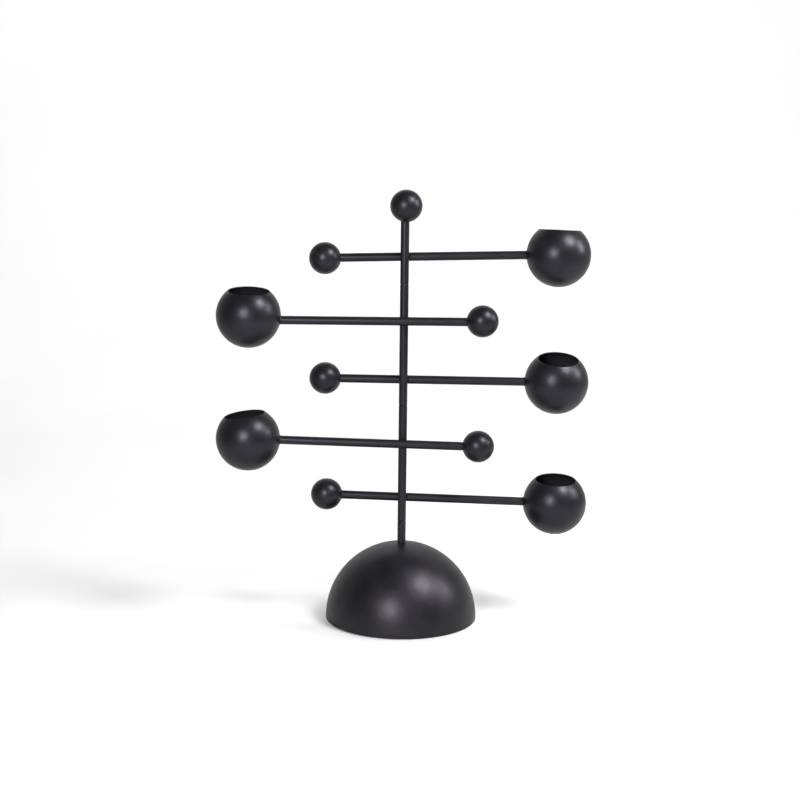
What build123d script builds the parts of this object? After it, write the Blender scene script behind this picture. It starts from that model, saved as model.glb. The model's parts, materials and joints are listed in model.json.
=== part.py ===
from build123d import *
from math import cos, radians, sin, sqrt
import os

os.makedirs("parts", exist_ok=True)

# A rack of five ball-shaped candle cups on one post, in millimetres and degrees.
# The origin is under the centre of the base. +Z is up, +X is to the right and +Y is to the back.
# Arms, cups and small balls are counted from the top.

# Overall size and stock
overall_height = 460.0
rod_diameter = 9.0

# Base
dome_radius = 81.0
dome_wall = 1.5
dome_centre_height = 1.75
dome_rim_height = 0.8
rim_round = 0.4
plate_thickness = 3.0
plate_gap = 0.1
plate_edge_chamfer = 0.5
pad_thickness = 2.0
pad_diameter = 148.0
tack_count = 4
tack_radius = 1.1

# Clamp of the stub in the dome
tail_diameter = 6.0
tail_length = 12.5
tail_chamfer = 0.6
tail_hole_diameter = 6.2
washer_diameter = 12.0
washer_thickness = 1.2
washer_hole_diameter = 6.4
nut_width = 10.0
nut_height = 5.0
thread_gap = 0.02

# Post and its screwed joints
seam_heights = (361.5, 233.0, 106.5)
seam_gap = 0.3
seam_chamfer = 0.4
stud_diameter = 5.0
stud_reach = 10.0
stud_chamfer = 0.5
stud_end_gap = 0.3
running_gap = 0.05

# Arms, as welded by eye: the height is where the arm passes the post, a positive slope lifts its
# right-hand end, and a positive shift moves it to the right
arm_heights = (389.5, 323.5, 259.0, 192.5, 131.0)
arm_slopes = (1.4, 0.0, -0.5, -1.5, -1.7)
arm_shifts = (-1.3, 0.4, -0.4, -1.3, 1.2)
arm_standoff = 0.3
cup_reaches = (163.2, 163.2, 163.45, 162.55, 163.35)
ball_reaches = (82.3, 81.8, 82.6, 81.45, 82.3)

# Cups: a positive lean lowers the mouth's right-hand side, and a positive tip lowers its front
cup_diameter = 67.9
cup_wall = 1.0
mouth_diameter = 43.2
lip_round = 0.35
cup_leans = (2.0, 1.7, 2.3, -7.8, 0.7)
cup_tips = (-4.0, 6.9, 13.0, 2.2, 6.8)
cup_lifts = (-0.2, 4.6, 0.1, 0.2, 0.0)

# Small balls, which sit a little off their rods
ball_diameter = 33.7
ball_lifts = (-0.3, 0.8, 0.0, 0.3, 0.0)
top_ball_shift = 1.1
socket_depth = 6.0
socket_gap = 0.02

# Welds
crossing_weld_radius = 4.0
crossing_weld_thickness = 4.0
crossing_weld_round = 1.2
cup_weld_leg = 0.8
cup_weld_round = 0.55

rod_radius = rod_diameter / 2
cup_radius = cup_diameter / 2
ball_radius = ball_diameter / 2
stud_radius = stud_diameter / 2
tail_radius = tail_diameter / 2
dome_inner_radius = dome_radius - dome_wall
arm_offset = rod_diameter + arm_standoff


def save(piece, name):
    piece.part.label = name
    export_step(piece.part, f"parts/{name}.step")


def sphere_height(radius, distance):
    """Height of a sphere's surface over its centre, at a distance from its axis."""
    return sqrt(radius**2 - distance**2)


# ---- Base: a hollow dome closed by a steel plate, with a pad underneath ----

with BuildPart() as dome_shell:
    with BuildSketch(Plane.XZ):
        with Locations((0, dome_centre_height)):
            Circle(dome_radius)
            Circle(dome_inner_radius, mode=Mode.SUBTRACT)
            Rectangle(2 * dome_radius, dome_radius, align=(Align.CENTER, Align.MAX), mode=Mode.SUBTRACT)
        with Locations((dome_radius, dome_centre_height)):
            Rectangle(dome_wall, dome_centre_height - dome_rim_height, align=(Align.MAX, Align.MAX))
        Rectangle(2 * dome_radius, 2 * dome_radius, align=(Align.MAX, Align.MIN), mode=Mode.SUBTRACT)
        Rectangle(tail_hole_diameter / 2, 2 * dome_radius, align=(Align.MIN, Align.MIN), mode=Mode.SUBTRACT)
    revolve(axis=Axis.Z)
    fillet(dome_shell.edges().group_by(Axis.Z)[0], radius=rim_round)
save(dome_shell, "dome_shell")

plate_radius = dome_inner_radius - plate_gap

with BuildPart() as base_plate:
    with BuildSketch(Plane.XY.offset(pad_thickness)):
        Circle(plate_radius)
    extrude(amount=plate_thickness)
    chamfer(base_plate.edges().group_by(Axis.Z)[-1], length=plate_edge_chamfer)
save(base_plate, "base_plate")

with BuildPart() as plate_tacks:
    with BuildSketch(Plane.XY.offset(pad_thickness)):
        with PolarLocations(dome_inner_radius - tack_radius, tack_count, start_angle=180 / tack_count):
            Circle(tack_radius)
    extrude(amount=dome_rim_height - pad_thickness, taper=20)
save(plate_tacks, "plate_tacks")

with BuildPart() as base_pad:
    with BuildSketch():
        Circle(pad_diameter / 2)
    extrude(amount=pad_thickness)
save(base_pad, "base_pad")

# ---- Clamp: the stub's threaded tail goes through the dome to a washer and a nut ----

shoulder_height = dome_centre_height + sphere_height(dome_radius, tail_hole_diameter / 2)
washer_top = dome_centre_height + sphere_height(dome_inner_radius, washer_diameter / 2)
nut_top = washer_top - washer_thickness

with BuildPart() as stub_washer:
    with BuildSketch(Plane.XY.offset(nut_top)):
        Circle(washer_diameter / 2)
        Circle(washer_hole_diameter / 2, mode=Mode.SUBTRACT)
    extrude(amount=washer_thickness)
save(stub_washer, "stub_washer")

with BuildPart() as stub_nut:
    with BuildSketch(Plane.XY.offset(nut_top)):
        RegularPolygon(nut_width / 2, side_count=6, major_radius=False)
        Circle(tail_radius + thread_gap, mode=Mode.SUBTRACT)
    extrude(amount=-nut_height)
save(stub_nut, "stub_nut")

# ---- Post: a stub and three sections, screwed end to end on short studs ----

upper_seam, middle_seam, lower_seam = seam_heights
half_gap = seam_gap / 2
top_ball_height = overall_height - ball_radius
post_top_end = top_ball_height - ball_radius + socket_depth

with BuildPart() as post_stub:
    with BuildSketch(Plane.XY.offset(shoulder_height)):
        Circle(rod_radius)
    extrude(amount=lower_seam - half_gap - shoulder_height)
    chamfer(post_stub.edges().group_by(Axis.Z)[-1], length=seam_chamfer)
    with BuildSketch(Plane.XY.offset(lower_seam)):
        Circle(stud_radius + thread_gap)
    extrude(amount=-stud_reach, mode=Mode.SUBTRACT)
    with BuildSketch(Plane.XY.offset(shoulder_height)):
        Circle(tail_radius)
    extrude(amount=-tail_length)
    chamfer(post_stub.edges().group_by(Axis.Z)[0], length=tail_chamfer)
save(post_stub, "post_stub")

post_sections = (
    ("post_lower", lower_seam, middle_seam - half_gap),
    ("post_middle", middle_seam, upper_seam - half_gap),
    ("post_top", upper_seam, post_top_end),
)

for section_name, seam, top in post_sections:
    bottom = seam + half_gap
    with BuildPart() as post_section:
        with BuildSketch(Plane.XY.offset(bottom)):
            Circle(rod_radius)
        extrude(amount=top - bottom)
        chamfer(post_section.edges().group_by(Axis.Z)[0], length=seam_chamfer)
        # The foot of each section turns on the stud below it
        with BuildSketch(Plane.XY.offset(bottom)):
            Circle(stud_radius + running_gap)
        extrude(amount=stud_reach + stud_end_gap, mode=Mode.SUBTRACT)
        # The head of each section but the last holds the next stud
        if top < post_top_end:
            chamfer(post_section.edges().group_by(Axis.Z)[-1], length=seam_chamfer)
            with BuildSketch(Plane.XY.offset(top)):
                Circle(stud_radius + thread_gap)
            extrude(amount=half_gap - stud_reach, mode=Mode.SUBTRACT)
    save(post_section, section_name)

for stud_name, seam in zip(("upper", "middle", "lower"), seam_heights):
    with BuildPart() as joint_stud:
        with BuildSketch(Plane.XY.offset(seam - stud_reach)):
            Circle(stud_radius)
        extrude(amount=2 * stud_reach)
        chamfer(joint_stud.edges().filter_by(GeomType.CIRCLE), length=stud_chamfer)
    save(joint_stud, f"joint_stud_{stud_name}")

with BuildPart() as top_ball:
    with Locations((top_ball_shift, 0, top_ball_height)):
        Sphere(ball_radius)
    with BuildSketch(Plane.XY.offset(post_top_end)):
        Circle(rod_radius + socket_gap)
    extrude(amount=-2 * socket_depth, mode=Mode.SUBTRACT)
save(top_ball, "top_ball")

# ---- Arms: each is a rod across the post, with a cup at one end and a small ball at the other ----
# Odd arms pass behind the post with the cup on the right; even arms pass in front with it on the left.

rod_end_overlap = cup_radius / 4
mouth_height = sphere_height(cup_radius, mouth_diameter / 2)

for index, height in enumerate(arm_heights):
    number = index + 1
    side = 1 if number % 2 else -1
    slope = radians(arm_slopes[index])
    to_right = Vector(cos(slope), 0, sin(slope))
    to_cup = to_right * side
    upward = Vector(-sin(slope), 0, cos(slope))
    arm_origin = Vector(0, side * arm_offset, height) + to_right * arm_shifts[index]
    cup_centre = arm_origin + to_cup * cup_reaches[index] + upward * cup_lifts[index]
    socket_reach = ball_reaches[index] - ball_radius + socket_depth
    socket_floor = arm_origin - to_cup * socket_reach
    ball_centre = arm_origin - to_cup * ball_reaches[index] + upward * ball_lifts[index]
    rod_length = socket_reach + cup_reaches[index] - cup_radius + rod_end_overlap
    # A sphere's seam line is turned to the back, away from the rod
    cup_place = Location(cup_centre, (0, 0, 90))
    ball_place = Location(ball_centre, (0, 0, 90))
    socket_plane = Plane(origin=socket_floor, x_dir=upward, z_dir=to_cup)

    with BuildPart() as arm_rod:
        with BuildSketch(socket_plane):
            Circle(rod_radius)
        extrude(amount=rod_length)
        with Locations(cup_place):
            Sphere(cup_radius, mode=Mode.SUBTRACT)
    save(arm_rod, f"arm_rod_{number}")

    with BuildPart() as small_ball:
        with Locations(ball_place):
            Sphere(ball_radius)
        with BuildSketch(socket_plane):
            Circle(rod_radius + socket_gap)
        extrude(amount=2 * socket_depth, mode=Mode.SUBTRACT)
    save(small_ball, f"small_ball_{number}")

    # The cup's own frame has its Z axis up through the middle of the mouth
    cup_frame = Location(cup_centre, (cup_tips[index], cup_leans[index], 0))
    profile_plane = Plane(cup_frame * Location((0, 0, 0), (90, 0, 0)))

    with BuildPart() as cup:
        with BuildSketch(profile_plane) as cup_profile:
            Circle(cup_radius)
            Circle(cup_radius - cup_wall, mode=Mode.SUBTRACT)
            # Around the mouth the wall is cut square to its own surface
            Polygon(
                (0, 0),
                (mouth_diameter, 2 * mouth_height),
                (0, 2 * mouth_height),
                align=None,
                mode=Mode.SUBTRACT,
            )
            Rectangle(cup_radius, cup_diameter, align=(Align.MAX, Align.CENTER), mode=Mode.SUBTRACT)
            fillet(cup_profile.vertices().sort_by(Axis.Y)[-2:], radius=lip_round)
        revolve(axis=Axis(cup_centre, Plane(cup_frame).z_dir))
    save(cup, f"cup_{number}")

    # Ring of weld where the rod butts against the cup
    with BuildPart() as cup_weld:
        with BuildSketch(socket_plane):
            Circle(rod_radius + cup_weld_leg)
            Circle(rod_radius, mode=Mode.SUBTRACT)
        extrude(amount=rod_length)
        with Locations(cup_place):
            Sphere(cup_radius + cup_weld_leg, mode=Mode.INTERSECT)
            Sphere(cup_radius, mode=Mode.SUBTRACT)
        outer_edges = cup_weld.edges().sort_by(SortBy.LENGTH)[-2:]
        fillet(outer_edges.sort_by(Axis(arm_origin, to_cup))[0], radius=cup_weld_round)
    save(cup_weld, f"cup_weld_{number}")

    # Weld between the crossed rods, filling the space around the point where they meet
    with BuildPart() as crossing_weld:
        with BuildSketch(Plane.XZ.offset(-side * arm_offset / 2)):
            with Locations((0, height)):
                Circle(crossing_weld_radius)
        extrude(amount=crossing_weld_thickness / 2, both=True)
        fillet(crossing_weld.edges().filter_by(GeomType.CIRCLE), radius=crossing_weld_round)
        with BuildSketch(socket_plane):
            Circle(rod_radius)
        extrude(amount=rod_length, mode=Mode.SUBTRACT)
        with BuildSketch(Plane.XY.offset(height - crossing_weld_radius * 2)):
            Circle(rod_radius)
        extrude(amount=crossing_weld_radius * 4, mode=Mode.SUBTRACT)
    save(crossing_weld, f"crossing_weld_{number}")
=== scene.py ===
import json
import random
from math import cos, pi, radians, sin, sqrt

import bpy
from mathutils import Matrix, Vector, noise


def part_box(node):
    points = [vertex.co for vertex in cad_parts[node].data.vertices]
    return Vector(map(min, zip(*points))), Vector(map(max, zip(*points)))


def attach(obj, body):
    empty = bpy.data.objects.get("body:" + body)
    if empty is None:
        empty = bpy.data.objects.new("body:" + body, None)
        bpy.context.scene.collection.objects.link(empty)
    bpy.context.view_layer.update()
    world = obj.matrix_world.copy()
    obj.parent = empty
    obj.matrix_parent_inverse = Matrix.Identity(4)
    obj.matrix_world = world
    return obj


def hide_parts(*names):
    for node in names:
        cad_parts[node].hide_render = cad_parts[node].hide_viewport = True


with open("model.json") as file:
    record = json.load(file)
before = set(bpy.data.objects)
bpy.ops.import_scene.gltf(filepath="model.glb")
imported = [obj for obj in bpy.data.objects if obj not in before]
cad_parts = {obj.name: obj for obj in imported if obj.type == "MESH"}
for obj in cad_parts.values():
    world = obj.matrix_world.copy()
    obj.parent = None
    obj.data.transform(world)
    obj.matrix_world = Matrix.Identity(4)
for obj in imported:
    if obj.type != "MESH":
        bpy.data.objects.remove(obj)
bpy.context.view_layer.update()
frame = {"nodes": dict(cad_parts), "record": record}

# Camera, in metres and degrees, from the centre of the rack's foot
CAMERA_PLACE = Vector((-0.0156, -1.7234, 0.5371))
CAMERA_PITCH = 9.835
CAMERA_YAW = -0.410
CAMERA_ROLL = 0.650
CAMERA_LENS = 74.22
SENSOR_WIDTH = 36.0

# Felt pad, in metres
PAD_EDGE_ROUND = 0.0007
PAD_EDGE_WAVE = 0.0006
PAD_FACE_DENT = 0.00016
# Rings across the flat face, as shares of the pad's radius
PAD_FACE_RINGS = (0.3, 0.55, 0.7, 0.8, 0.88, 0.93, 0.965)
PAD_STEPS = 600
PAD_EDGE_STEPS = 5
# Waves and dents fade from the edge inwards by this power of the distance
EDGE_POWER = 8
WAVE_SCALE = 110
WAVE_SMOOTHNESS = 0.9
WAVE_LACUNARITY = 2.3
WAVE_OCTAVES = 3
DENT_SCALE = 420
DENT_SHIFT = Vector((7, 0, 0))

# Loose fibres of the felt, in metres
PAD_FIBRES = 3600
FIBRE_RADIUS = 0.00003
FIBRE_TAPER = 0.6
FIBRE_JOINTS = 5
FIBRE_SIDES = 3
FIBRE_CURL = 0.5
EDGE_FIBRE_ROOT = 0.0009
EDGE_FIBRE_LENGTH = (0.0012, 0.0030)
FACE_FIBRE_DEPTH = 0.00012
FACE_FIBRE_SPREAD = 0.92
FACE_FIBRE_LENGTH = (0.0015, 0.0035)

# Welds, in metres
TIERS = {1: "top_tier", 2: "middle_tier", 3: "middle_tier", 4: "lower_tier", 5: "lower_tier"}
BEAD_STEPS = 144
BEAD_RIPPLE = 0.00009
BEAD_WANDER = 0.00018
RIPPLE_HALF_TURNS = 9
RIPPLE_UNEVENNESS = 0.6
WANDER_SCALE = 1.3
WANDER_SEED_STEP = 3.1
CROSSING_BEAD_RADIUS = 0.00412
CROSSING_BEAD_REACH = 0.0030
CROSSING_BEAD_RINGS = 13
CROSSING_BEAD_TAPER = 0.5
# Radians that the ripples turn for each metre along the bead
CROSSING_BEAD_TWIST = 120
CUP_BEAD_LEG = 0.0008
CUP_BEAD_STEPS = 7
CUP_BEAD_CURVE = 1.3
# How far the bead's hidden sides reach into the rod, into the cup and into the corner between them
ROD_OVERLAP = 0.0002
CUP_OVERLAP = 0.0002
CORNER_OVERLAP = 0.0003
CUP_BEAD_TOE = 0.0001
TACK_COUNT = 4
TACK_RADIUS = 0.0011
TACK_STRETCH = 1.2
TACK_SINK = 0.0001
TACK_RINGS = 9
TACK_STEPS = 36
TACK_LUMPINESS = 0.16
TACK_LUMP_SCALE = 1.6
TACK_LUMP_RISE = 1.2
TACK_SEED_STEP = 5
TACK_DEPTH_SHARE = 0.06

# Powder coat, in linear colour
COAT_DARK = (0.0045, 0.0043, 0.0054)
COAT_PALE = (0.0080, 0.0077, 0.0094)
COAT_TINT = (0.87, 0.84, 1.0)
COAT_ROUGHNESS = (0.31, 0.43)
COAT_RIPPLE = 0.20
DOME_ROUGHNESS = (0.34, 0.46)
DOME_RIPPLE = 0.28
DOME_TINT = (0.93, 0.87, 0.97)
# Shine where the surface faces the eye, and where it turns away
COAT_SHINE = (0.55, 0.08)
# Painted light: a paler colour for the inside of each bowl, standing for light in the bowl
BOWL_PAINTED_LIGHT = (0.026, 0.0245, 0.0295)
DRY_ROUGHNESS = 0.6
COAT_IOR = 1.38

# Other materials, in linear colour
ZINC_DARK = (0.48, 0.49, 0.52)
ZINC_PALE = (0.66, 0.67, 0.68)
ZINC_ROUGHNESS = (0.25, 0.45)
FELT_DARK = (0.007, 0.007, 0.008)
FELT_PALE = (0.042, 0.042, 0.045)
FELT_SHEEN = 0.25
PAPER_DARK = (0.585, 0.585, 0.585)
PAPER_PALE = (0.605, 0.605, 0.605)

# Studio, in metres
BACKDROP_REACH = 2.85
BACKDROP_HEIGHT = 3.0
BACKDROP_BEND = 1.2
BACKDROP_MIDDLE_Y = -0.65
BACKDROP_STRETCH = 1.5
BACKDROP_FLOOR_RINGS = (0.1, 0.8)
BACKDROP_RING_STEPS = 96
BACKDROP_BEND_STEPS = 24
HIGHLIGHT_AIM = Vector((0, 0, 0.27))
WALL_AIM = Vector((0, 2.2, 0.9))
WORLD_GREY = 0.07


def set_inputs(node, **values):
    for name, value in values.items():
        node.inputs[name.replace("_", " ")].default_value = value


def new_material(name):
    material = bpy.data.materials.new(name)
    material.use_nodes = True
    return material, material.node_tree, material.node_tree.nodes["Principled BSDF"]


def add_noise(tree, scale, detail=2.0, roughness=0.5):
    """A noise texture in object space, so that it has the same grain in metres on every piece."""
    coordinates = tree.nodes.new("ShaderNodeTexCoord")
    texture = tree.nodes.new("ShaderNodeTexNoise")
    set_inputs(texture, Scale=scale, Detail=detail, Roughness=roughness)
    tree.links.new(coordinates.outputs["Object"], texture.inputs["Vector"])
    return texture


def add_ramp(tree, source, stops):
    ramp = tree.nodes.new("ShaderNodeValToRGB")
    while len(ramp.color_ramp.elements) < len(stops):
        ramp.color_ramp.elements.new(0.5)
    for element, (place, colour) in zip(ramp.color_ramp.elements, stops):
        element.position = place
        element.color = (*colour, 1.0)
    tree.links.new(source, ramp.inputs["Fac"])
    return ramp


def add_map(tree, source, low, high):
    """The 0..1 source stretched to low..high."""
    mapping = tree.nodes.new("ShaderNodeMapRange")
    set_inputs(mapping, To_Min=low, To_Max=high)
    tree.links.new(source, mapping.inputs["Value"])
    return mapping.outputs["Result"]


def add_mix(tree, factor, first, second, kind):
    """The linked first value where factor is 0, and the fixed second one where it is 1."""
    mix = tree.nodes.new("ShaderNodeMix")
    mix.data_type = kind
    sockets = {socket.name: socket for socket in mix.inputs if socket.enabled}
    tree.links.new(factor, sockets["Factor"])
    tree.links.new(first, sockets["A"])
    sockets["B"].default_value = second
    return next(socket for socket in mix.outputs if socket.enabled)


def add_bump(tree, height, distance, strength, below=None):
    bump = tree.nodes.new("ShaderNodeBump")
    set_inputs(bump, Distance=distance, Strength=strength)
    tree.links.new(height, bump.inputs["Height"])
    if below:
        tree.links.new(below.outputs["Normal"], bump.inputs["Normal"])
    return bump


def add_hollow_mask(tree):
    """1 on the faces that look back at the middle of their own piece, and 0 elsewhere.

    On a cup those are the faces inside its bowl.
    """
    coordinates = tree.nodes.new("ShaderNodeTexCoord")
    outward = tree.nodes.new("ShaderNodeVectorMath")
    outward.operation = "SUBTRACT"
    outward.inputs[1].default_value = (0.5, 0.5, 0.5)
    facing = tree.nodes.new("ShaderNodeVectorMath")
    facing.operation = "DOT_PRODUCT"
    inside = tree.nodes.new("ShaderNodeMath")
    inside.operation = "LESS_THAN"
    inside.inputs[1].default_value = 0.0
    tree.links.new(coordinates.outputs["Generated"], outward.inputs[0])
    tree.links.new(outward.outputs["Vector"], facing.inputs[0])
    tree.links.new(coordinates.outputs["Normal"], facing.inputs[1])
    tree.links.new(facing.outputs["Value"], inside.inputs[0])
    return inside.outputs["Value"]


def black_powder_coat(
    name="black_powder_coat", hollow=False, dullness=COAT_ROUGHNESS, ripples=COAT_RIPPLE, tint=COAT_TINT
):
    """Satin black powder coat: a pebbled skin about half a millimetre apart over a slow ripple.

    Inside a bowl the coat is rougher and duller, and its colour is painted paler as painted light in the
    bowl.
    """
    material, tree, shader = new_material(name)
    tone = add_noise(tree, scale=45, detail=4)
    colour = add_ramp(tree, tone.outputs["Fac"], [(0.35, COAT_DARK), (0.65, COAT_PALE)]).outputs["Color"]
    gloss = add_noise(tree, scale=160, detail=3)
    roughness = add_map(tree, gloss.outputs["Fac"], *dullness)
    if hollow:
        mask = add_hollow_mask(tree)
        # Painted light: the inside of the bowl is coloured paler
        colour = add_mix(tree, mask, colour, (*BOWL_PAINTED_LIGHT, 1.0), "RGBA")
        roughness = add_mix(tree, mask, roughness, DRY_ROUGHNESS, "FLOAT")
    tree.links.new(colour, shader.inputs["Base Color"])
    tree.links.new(roughness, shader.inputs["Roughness"])
    ripple = add_noise(tree, scale=230, detail=2)
    ripple_bump = add_bump(tree, ripple.outputs["Fac"], distance=0.0004, strength=ripples)
    pebble = add_noise(tree, scale=2100, detail=2)
    pebble_bump = add_bump(tree, pebble.outputs["Fac"], distance=0.00006, strength=0.5, below=ripple_bump)
    tree.links.new(pebble_bump.outputs["Normal"], shader.inputs["Normal"])
    facing = tree.nodes.new("ShaderNodeLayerWeight")
    set_inputs(facing, Blend=0.5)
    tree.links.new(add_map(tree, facing.outputs["Facing"], *COAT_SHINE), shader.inputs["Specular IOR Level"])
    shader.inputs["IOR"].default_value = COAT_IOR
    shader.inputs["Specular Tint"].default_value = (*tint, 1.0)
    return material


def zinc_plate():
    material, tree, shader = new_material("zinc_plate")
    tone = add_noise(tree, scale=600, detail=4)
    ramp = add_ramp(tree, tone.outputs["Fac"], [(0.3, ZINC_DARK), (0.7, ZINC_PALE)])
    tree.links.new(ramp.outputs["Color"], shader.inputs["Base Color"])
    tree.links.new(add_map(tree, tone.outputs["Fac"], *ZINC_ROUGHNESS), shader.inputs["Roughness"])
    shader.inputs["Metallic"].default_value = 1.0
    return material


def black_felt():
    """Pressed wool felt: cloudy where the fibres lie in clumps, with a fine nap."""
    material, tree, shader = new_material("black_felt")
    clumps = add_noise(tree, scale=280, detail=6, roughness=0.7)
    ramp = add_ramp(tree, clumps.outputs["Fac"], [(0.38, FELT_DARK), (0.62, FELT_PALE)])
    tree.links.new(ramp.outputs["Color"], shader.inputs["Base Color"])
    fibres = add_noise(tree, scale=1500, detail=6, roughness=0.7)
    bump = add_bump(tree, fibres.outputs["Fac"], distance=0.0004, strength=0.8)
    tree.links.new(bump.outputs["Normal"], shader.inputs["Normal"])
    set_inputs(shader, Roughness=0.95)
    shader.inputs["Sheen Weight"].default_value = FELT_SHEEN
    return material


def make_camera():
    pitch, yaw, roll = (radians(angle) for angle in (CAMERA_PITCH, CAMERA_YAW, CAMERA_ROLL))
    forward = Vector((-sin(yaw) * cos(pitch), cos(yaw) * cos(pitch), -sin(pitch)))
    level_right = Vector((cos(yaw), sin(yaw), 0))
    level_up = level_right.cross(forward)
    right = level_right * cos(roll) + level_up * sin(roll)
    up = level_up * cos(roll) - level_right * sin(roll)
    data = bpy.data.cameras.new("camera")
    data.sensor_width = SENSOR_WIDTH
    data.lens = CAMERA_LENS
    camera = bpy.data.objects.new("camera", data)
    turn = Matrix((right, up, -forward)).transposed().to_4x4()
    camera.matrix_world = Matrix.Translation(CAMERA_PLACE) @ turn
    bpy.context.scene.collection.objects.link(camera)
    bpy.context.scene.camera = camera


def make_light(name, place, aim, width, height, power, in_reflections=True):
    """A soft box that faces its aim."""
    data = bpy.data.lights.new(name, "AREA")
    data.shape = "RECTANGLE"
    data.size = width
    data.size_y = height
    data.energy = power
    light = bpy.data.objects.new(name, data)
    light.location = place
    light.rotation_euler = (light.location - aim).to_track_quat("Z", "Y").to_euler()
    light.visible_glossy = in_reflections
    bpy.context.scene.collection.objects.link(light)


def make_backdrop():
    """A white floor that sweeps up into an oval wall all round the rack in one curve."""
    flat_reach = BACKDROP_REACH - BACKDROP_BEND
    profile = [(distance, 0.0) for distance in (*BACKDROP_FLOOR_RINGS, flat_reach)]
    for step in range(1, BACKDROP_BEND_STEPS + 1):
        angle = pi / 2 * step / BACKDROP_BEND_STEPS
        rise = BACKDROP_BEND - BACKDROP_BEND * cos(angle)
        profile.append((flat_reach + BACKDROP_BEND * sin(angle), rise))
    profile.append((BACKDROP_REACH, BACKDROP_HEIGHT))
    vertices = []
    for distance, rise in profile:
        for step in range(BACKDROP_RING_STEPS):
            angle = 2 * pi * step / BACKDROP_RING_STEPS
            across = BACKDROP_STRETCH * distance * cos(angle)
            vertices.append((across, BACKDROP_MIDDLE_Y + distance * sin(angle), rise))
    faces = ring_faces(len(profile), BACKDROP_RING_STEPS, closed_section=False)
    faces.append(tuple(reversed(range(BACKDROP_RING_STEPS))))
    mesh = bpy.data.meshes.new("backdrop")
    mesh.from_pydata(vertices, [], faces)
    for polygon in mesh.polygons:
        polygon.use_smooth = True
    backdrop = bpy.data.objects.new("backdrop", mesh)
    bpy.context.scene.collection.objects.link(backdrop)
    material, tree, shader = new_material("white_paper")
    paper = add_noise(tree, scale=3)
    ramp = add_ramp(tree, paper.outputs["Fac"], [(0.3, PAPER_DARK), (0.7, PAPER_PALE)])
    tree.links.new(ramp.outputs["Color"], shader.inputs["Base Color"])
    set_inputs(shader, Roughness=0.9)
    mesh.materials.append(material)


def make_studio():
    world = bpy.data.worlds.new("studio")
    bpy.context.scene.world = world
    world.use_nodes = True
    background = world.node_tree.nodes["Background"]
    background.inputs["Color"].default_value = (WORLD_GREY, WORLD_GREY, WORLD_GREY, 1)
    make_light("key", (0.790, -0.500, 1.330), HIGHLIGHT_AIM, width=0.47, height=0.47, power=25)
    make_light("front", (-0.483, -1.486, 0.711), HIGHLIGHT_AIM, width=0.40, height=0.52, power=20)
    make_light("side", (1.264, -0.037, 0.829), HIGHLIGHT_AIM, width=0.33, height=0.55, power=11.5)
    # These two fill the room and light the paper, and the rack doesn't mirror them
    make_light(
        "overhead", (0.0, 0.15, 2.9), HIGHLIGHT_AIM, width=3.0, height=3.0, power=6.5, in_reflections=False
    )
    make_light("wall", (0.0, 0.9, 2.6), WALL_AIM, width=3.0, height=0.6, power=78, in_reflections=False)
    bpy.context.scene.view_settings.view_transform = "Standard"


CUPS = [f"cup_{number}" for number in range(1, 6)]
MATERIALS = {"black_coat": black_powder_coat, "zinc_steel": zinc_plate, "pad_felt": black_felt}


def dress_nodes():
    """Give every CAD node the material of its slot."""
    made = {slot: make() for slot, make in MATERIALS.items()}
    special = dict.fromkeys(CUPS, black_powder_coat("black_powder_coat_bowl", hollow=True))
    special["dome_shell"] = black_powder_coat(
        "black_powder_coat_dome", dullness=DOME_ROUGHNESS, ripples=DOME_RIPPLE, tint=DOME_TINT
    )
    for part in frame["record"]["subparts"]:
        mesh = frame["nodes"][part["node"]].data
        mesh.materials.clear()
        mesh.materials.append(special.get(part["node"], made[part["material_slot"]]))
    return made


def make_piece(name, vertices, faces, material, body):
    mesh = bpy.data.meshes.new(name)
    mesh.from_pydata(vertices, [], faces)
    for polygon in mesh.polygons:
        polygon.use_smooth = True
    mesh.materials.append(material)
    piece = bpy.data.objects.new(name, mesh)
    bpy.context.scene.collection.objects.link(piece)
    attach(piece, body)
    return piece


def ring_faces(rings, steps, closed_section):
    """Quads between rings of points that follow one another; the last ring may join the first."""
    pairs = [(ring, ring + 1) for ring in range(rings - 1)]
    if closed_section:
        pairs.append((rings - 1, 0))
    faces = []
    for first, second in pairs:
        for step in range(steps):
            after = (step + 1) % steps
            here, beside = first * steps + step, first * steps + after
            faces.append((here, beside, second * steps + after, second * steps + step))
    return faces


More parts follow.
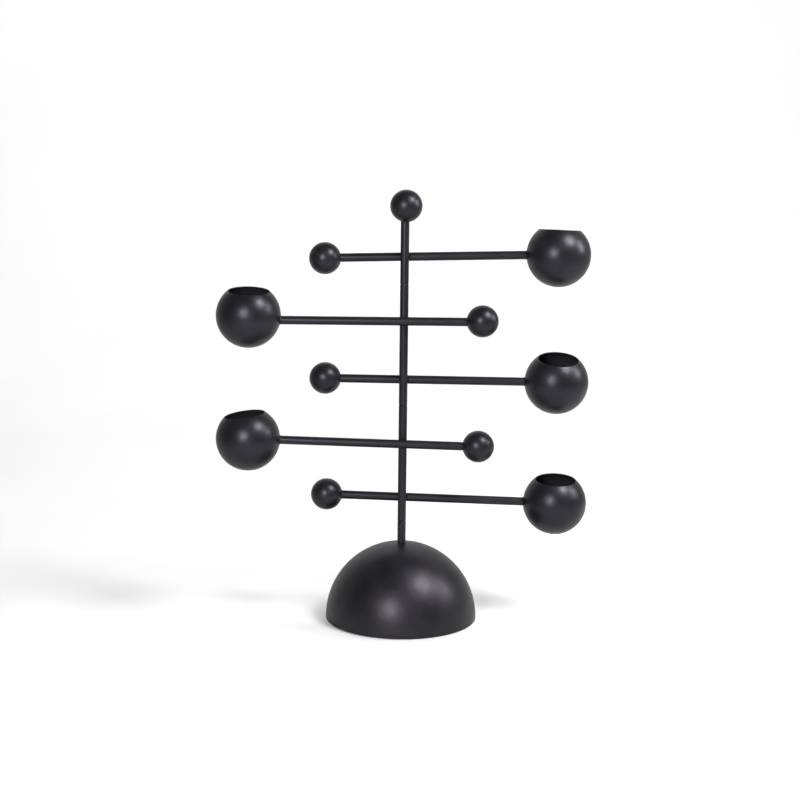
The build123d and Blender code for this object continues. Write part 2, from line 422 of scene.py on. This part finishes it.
def make_felt_pad(material):
    """A disc of pressed felt with a soft cut edge, dents near that edge and loose fibres."""
    low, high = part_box("base_pad")
    radius = (high.x - low.x) / 2
    thickness = high.z - low.z
    flat_radii = [radius * share for share in PAD_FACE_RINGS]
    profile = [(flat, 0.0) for flat in flat_radii]
    for step in range(PAD_EDGE_STEPS + 1):
        angle = pi / 2 * step / PAD_EDGE_STEPS
        inset = PAD_EDGE_ROUND * (1 - sin(angle))
        profile.append((radius - inset, PAD_EDGE_ROUND * (1 - cos(angle))))
    for step in range(PAD_EDGE_STEPS + 1):
        angle = pi / 2 * step / PAD_EDGE_STEPS
        inset = PAD_EDGE_ROUND * (1 - cos(angle))
        profile.append((radius - inset, thickness - PAD_EDGE_ROUND * (1 - sin(angle))))
    profile += [(flat, thickness) for flat in reversed(flat_radii)]
    vertices = []
    for distance, height in profile:
        for step in range(PAD_STEPS):
            angle = 2 * pi * step / PAD_STEPS
            place = Vector((distance * cos(angle), distance * sin(angle), height))
            near_edge = (distance / radius) ** EDGE_POWER
            waviness = noise.fractal(place * WAVE_SCALE, WAVE_SMOOTHNESS, WAVE_LACUNARITY, WAVE_OCTAVES)
            wave = PAD_EDGE_WAVE * (0.5 + 0.5 * waviness) * near_edge
            dent = PAD_FACE_DENT * (0.5 + 0.5 * noise.noise(place * DENT_SCALE + DENT_SHIFT)) * near_edge
            level = height + dent if height < thickness / 2 else height - dent
            spread = distance - wave
            vertices.append((spread * cos(angle), spread * sin(angle), low.z + level))
    faces = ring_faces(len(profile), PAD_STEPS, closed_section=False)
    faces.append(tuple(reversed(range(PAD_STEPS))))
    faces.append(tuple((len(profile) - 1) * PAD_STEPS + step for step in range(PAD_STEPS)))
    pad = make_piece("felt_pad", vertices, faces, material, "base")
    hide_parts("base_pad")
    make_fibres(radius, thickness, material)


def draw_fibre(draw, on_edge, radius, thickness):
    """Where one fibre starts, the way it runs, how it curls and how long it is."""
    angle = draw.uniform(0, 2 * pi)
    outward = Vector((cos(angle), sin(angle), 0))
    around = Vector((-sin(angle), cos(angle), 0))
    if on_edge:
        root = Vector((0, 0, draw.uniform(0.2, 0.8) * thickness))
        start = outward * (radius - EDGE_FIBRE_ROOT) + root
        way = outward * draw.uniform(0.3, 1.0) + around * draw.uniform(-1.3, 1.3)
        length = draw.uniform(*EDGE_FIBRE_LENGTH)
    else:
        distance = sqrt(draw.uniform(0.0, FACE_FIBRE_SPREAD))
        start = outward * radius * distance + Vector((0, 0, FACE_FIBRE_DEPTH))
        way = outward * draw.uniform(-1, 1) + around * draw.uniform(-1, 1)
        length = draw.uniform(*FACE_FIBRE_LENGTH)
    way.normalize()
    curl = way.cross(Vector((0, 0, 1))) * draw.uniform(-FIBRE_CURL, FIBRE_CURL)
    return start, way, curl, length


def make_fibres(radius, thickness, material):
    """Loose fibres: two in three stand out of the cut edge, and the rest lie just inside the face."""
    draw = random.Random(5)
    vertices = []
    faces = []
    for number in range(PAD_FIBRES):
        start, way, curl, length = draw_fibre(draw, number % 3 > 0, radius, thickness)
        side_way = way.cross(Vector((0, 0, 1)))
        first = len(vertices)
        for joint in range(FIBRE_JOINTS):
            share = joint / (FIBRE_JOINTS - 1)
            middle = start + (way * share + curl * share**2) * length
            width = FIBRE_RADIUS * (1 - FIBRE_TAPER * share)
            for side in range(FIBRE_SIDES):
                turn = 2 * pi * side / FIBRE_SIDES
                vertices.append(middle + side_way * width * cos(turn) + Vector((0, 0, width * sin(turn))))
        for quad in ring_faces(FIBRE_JOINTS, FIBRE_SIDES, closed_section=False):
            faces.append(tuple(first + corner for corner in quad))
        faces.append(tuple(first + side for side in reversed(range(FIBRE_SIDES))))
        last = first + (FIBRE_JOINTS - 1) * FIBRE_SIDES
        faces.append(tuple(last + side for side in range(FIBRE_SIDES)))
    make_piece("felt_fibres", vertices, faces, material, "base")


def bead_offset(angle, seed):
    """How far a hand-laid bead stands off its mean line: slightly uneven ripples on a slow wander."""
    unevenness = RIPPLE_UNEVENNESS * sin(2 * angle + seed)
    ripples = abs(sin(RIPPLE_HALF_TURNS * angle + seed + unevenness))
    route = Vector((WANDER_SCALE * cos(angle), WANDER_SCALE * sin(angle), WANDER_SEED_STEP * seed))
    wander = noise.noise(route)
    return BEAD_RIPPLE * ripples + BEAD_WANDER * wander


def make_crossing_bead(number, material):
    """The weld blob in the space between the post and an arm."""
    low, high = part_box(f"crossing_weld_{number}")
    middle = (low + high) / 2
    vertices = []
    for ring in range(CROSSING_BEAD_RINGS):
        along = CROSSING_BEAD_REACH * (2 * ring / (CROSSING_BEAD_RINGS - 1) - 1)
        swell = 1 - CROSSING_BEAD_TAPER * (along / CROSSING_BEAD_REACH) ** 2
        for step in range(BEAD_STEPS):
            angle = 2 * pi * step / BEAD_STEPS
            offset = bead_offset(angle + CROSSING_BEAD_TWIST * along, number)
            distance = CROSSING_BEAD_RADIUS * swell + offset
            vertices.append(middle + Vector((distance * cos(angle), along, distance * sin(angle))))
    faces = ring_faces(CROSSING_BEAD_RINGS, BEAD_STEPS, closed_section=False)
    faces.append(tuple(reversed(range(BEAD_STEPS))))
    faces.append(tuple((CROSSING_BEAD_RINGS - 1) * BEAD_STEPS + step for step in range(BEAD_STEPS)))
    name = f"crossing_bead_{number}"
    bead = make_piece(name, vertices, faces, material, TIERS[number])
    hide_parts(f"crossing_weld_{number}")


def make_cup_bead(number, material):
    """The thin weld around a rod where it butts against its cup."""
    cup_low, cup_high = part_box(f"cup_{number}")
    cup_radius = (cup_high.x - cup_low.x) / 2
    cup_middle = (cup_low + cup_high) / 2
    cup_middle.z = cup_low.z + cup_radius
    ball_low, ball_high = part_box(f"small_ball_{number}")
    weld_low, weld_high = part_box(f"cup_weld_{number}")
    start = (ball_low + ball_high) / 2
    along = ((weld_low + weld_high) / 2 - start).normalized()
    sideways = along.cross(Vector((0, 1, 0))).normalized()
    upright = along.cross(sideways)
    rod = rod_radius()

    def on_cup(out, distance):
        """Where a line along the rod, this far out from its axis, meets the cup."""
        line = start + out * distance
        nearest = (cup_middle - line).dot(along)
        miss = (line + along * nearest - cup_middle).length
        return nearest - sqrt(cup_radius**2 - miss**2)

    vertices = []
    sections = []
    for step in range(BEAD_STEPS):
        angle = 2 * pi * step / BEAD_STEPS
        out = sideways * cos(angle) + upright * sin(angle)
        leg = CUP_BEAD_LEG + bead_offset(angle, number)
        section = [(rod - ROD_OVERLAP, on_cup(out, rod) - leg - CUP_BEAD_TOE)]
        for share in range(CUP_BEAD_STEPS):
            rise = share / (CUP_BEAD_STEPS - 1)
            distance = rod + leg * rise**CUP_BEAD_CURVE
            section.append((distance, on_cup(out, distance) - leg * (1 - rise) ** CUP_BEAD_CURVE))
        section.append((rod + leg, on_cup(out, rod + leg) + CUP_OVERLAP))
        section.append((rod - ROD_OVERLAP, on_cup(out, rod) + CORNER_OVERLAP))
        sections.append([start + out * distance + along * place for distance, place in section])
    rings = len(sections[0])
    for ring in range(rings):
        vertices += [section[ring] for section in sections]
    faces = ring_faces(rings, BEAD_STEPS, closed_section=True)
    bead = make_piece(f"cup_bead_{number}", vertices, faces, material, TIERS[number])
    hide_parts(f"cup_weld_{number}")


def make_tack_beads(material):
    """Four uneven blobs of weld between the plate and the dome's foot."""
    low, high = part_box("plate_tacks")
    centre_reach = sqrt(2) * (high.x - TACK_RADIUS)
    depth_full = high.z - low.z
    vertices = []
    faces = []
    for number in range(TACK_COUNT):
        turn = 2 * pi * (number + 0.5) / TACK_COUNT
        outward = Vector((cos(turn), sin(turn), 0))
        around = Vector((-sin(turn), cos(turn), 0))
        first = len(vertices)
        for ring in range(TACK_RINGS):
            rise = pi / 2 * ring / TACK_RINGS
            seed = TACK_SEED_STEP * number + TACK_LUMP_RISE * rise
            for step in range(TACK_STEPS):
                angle = 2 * pi * step / TACK_STEPS
                route = Vector((TACK_LUMP_SCALE * cos(angle), TACK_LUMP_SCALE * sin(angle), seed))
                lump = 1 + TACK_LUMPINESS * noise.noise(route)
                reach = TACK_RADIUS * cos(rise) * lump
                across = around * TACK_STRETCH * reach * sin(angle)
                place = outward * (centre_reach + reach * cos(angle)) + across
                depth = depth_full * sin(rise) * (1 - TACK_DEPTH_SHARE + TACK_DEPTH_SHARE * lump)
                vertices.append(place + Vector((0, 0, high.z + TACK_SINK - depth)))
        vertices.append(outward * centre_reach + Vector((0, 0, low.z + TACK_SINK)))
        for quad in ring_faces(TACK_RINGS, TACK_STEPS, closed_section=False):
            faces.append(tuple(first + corner for corner in quad))
        last = first + (TACK_RINGS - 1) * TACK_STEPS
        tip = first + TACK_RINGS * TACK_STEPS
        for step in range(TACK_STEPS):
            faces.append((last + step, last + (step + 1) % TACK_STEPS, tip))
        faces.append(tuple(first + step for step in reversed(range(TACK_STEPS))))
    beads = make_piece("tack_beads", vertices, faces, material, "base")
    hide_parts("plate_tacks")


def rod_radius():
    low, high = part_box("post_lower")
    return (high.x - low.x) / 2


make_camera()
make_backdrop()
make_studio()
made_materials = dress_nodes()
make_felt_pad(made_materials["pad_felt"])
make_tack_beads(made_materials["black_coat"])
for arm in TIERS:
    make_crossing_bead(arm, made_materials["black_coat"])
    make_cup_bead(arm, made_materials["black_coat"])
